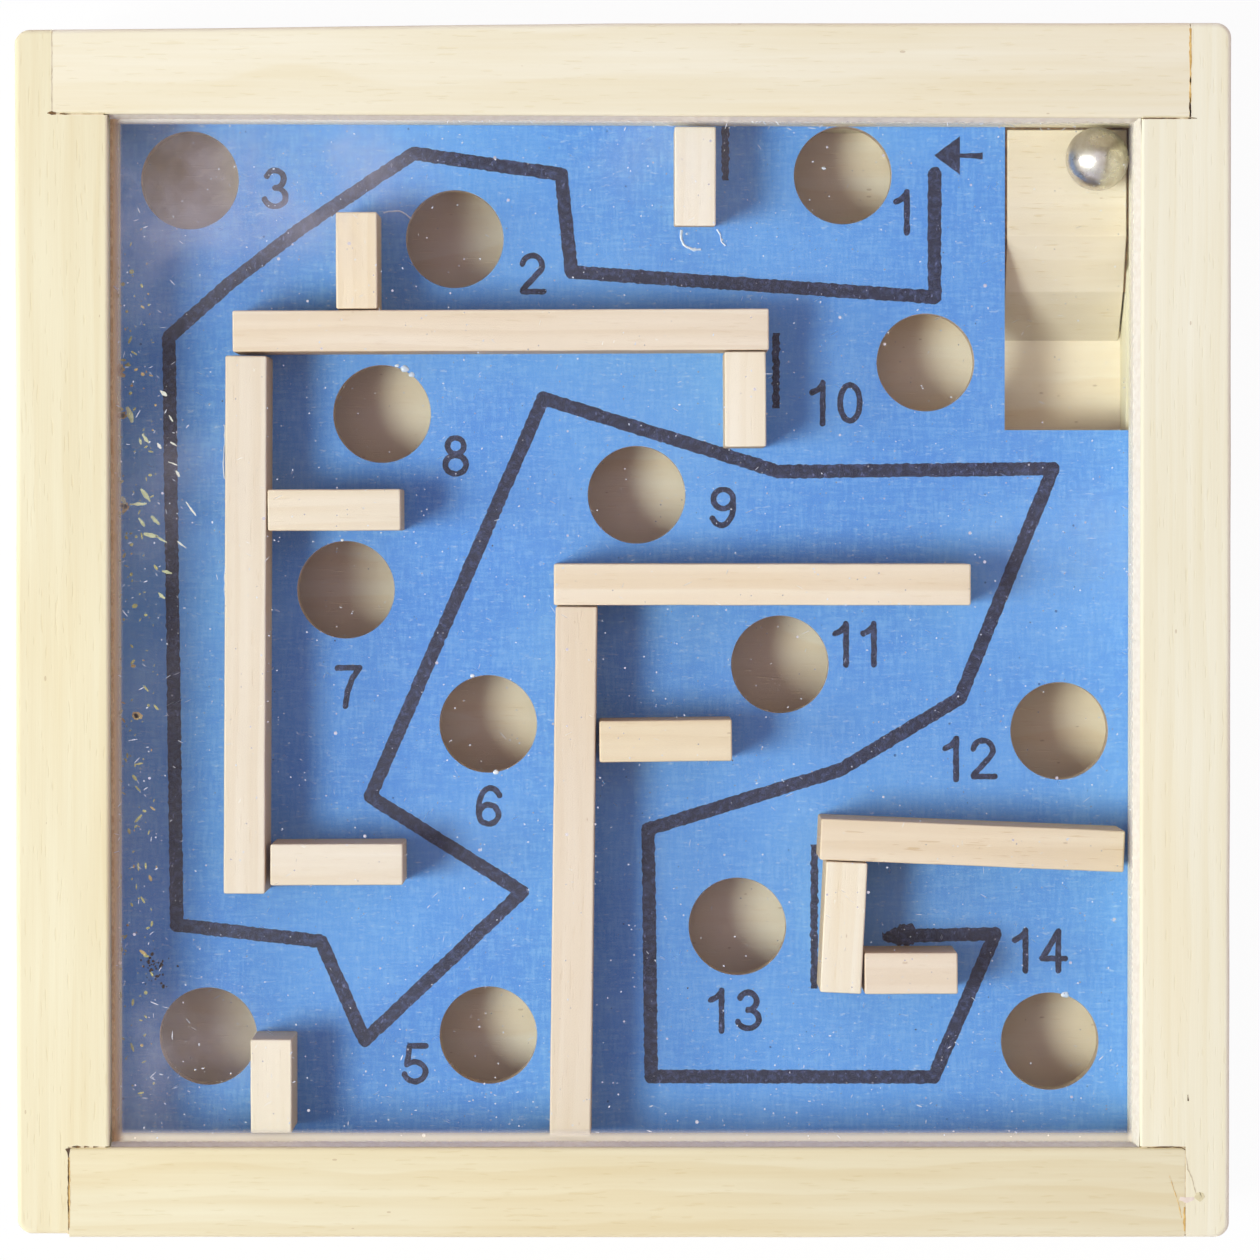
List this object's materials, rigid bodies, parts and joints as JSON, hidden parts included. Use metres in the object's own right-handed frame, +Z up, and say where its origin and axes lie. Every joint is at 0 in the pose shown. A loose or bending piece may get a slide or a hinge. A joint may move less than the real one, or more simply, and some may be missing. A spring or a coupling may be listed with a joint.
{
  "type": "ball maze puzzle",
  "caption": "Hand-held wooden tilt maze: square frame and clear cover over a printed board with holes and glued walls, a return ramp in one corner and a loose steel ball.",
  "frame": {"origin": "centre of the underside, at the level that the part rests on", "axes": "+Z up through the clear cover, +X to the right and +Y to the top of the playing board"},
  "size_m": [0.12, 0.12, 0.026],
  "materials": {
    "rail_wood": "sanded pine, unvarnished",
    "base_wood": "plain thin board",
    "ramp_wood": "sawn and sanded",
    "strip_wood": "square-cut moulding, sanded",
    "board_print": "board faced with a blue print",
    "cover_clear": "clear sheet, lightly scratched",
    "ball_steel": "polished bearing ball"
  },
  "bodies": {
    "case": {"left_rail": "rail_wood", "right_rail": "rail_wood", "top_rail": "rail_wood", "bottom_rail": "rail_wood", "base_panel": "base_wood", "maze_board": "board_print", "clear_cover": "cover_clear", "return_ramp": "ramp_wood", "start_stop": "strip_wood", "hole_two_guard": "strip_wood", "upper_long_wall": "strip_wood", "upper_drop_wall": "strip_wood", "left_long_wall": "strip_wood", "hole_eight_shelf": "strip_wood", "left_lower_shelf": "strip_wood", "hole_four_guard": "strip_wood", "middle_cross_wall": "strip_wood", "middle_long_wall": "strip_wood", "middle_shelf": "strip_wood", "finish_roof_wall": "strip_wood", "finish_side_wall": "strip_wood", "finish_floor_wall": "strip_wood"},
    "ball": {"steel_ball": "ball_steel"}
  },
  "joints": [
    {"name": "ball_roll", "type": "slide", "parent": "case", "child": "ball", "axis": [-1, 0, 0], "range_m": [0, 0.02]}
  ]
}
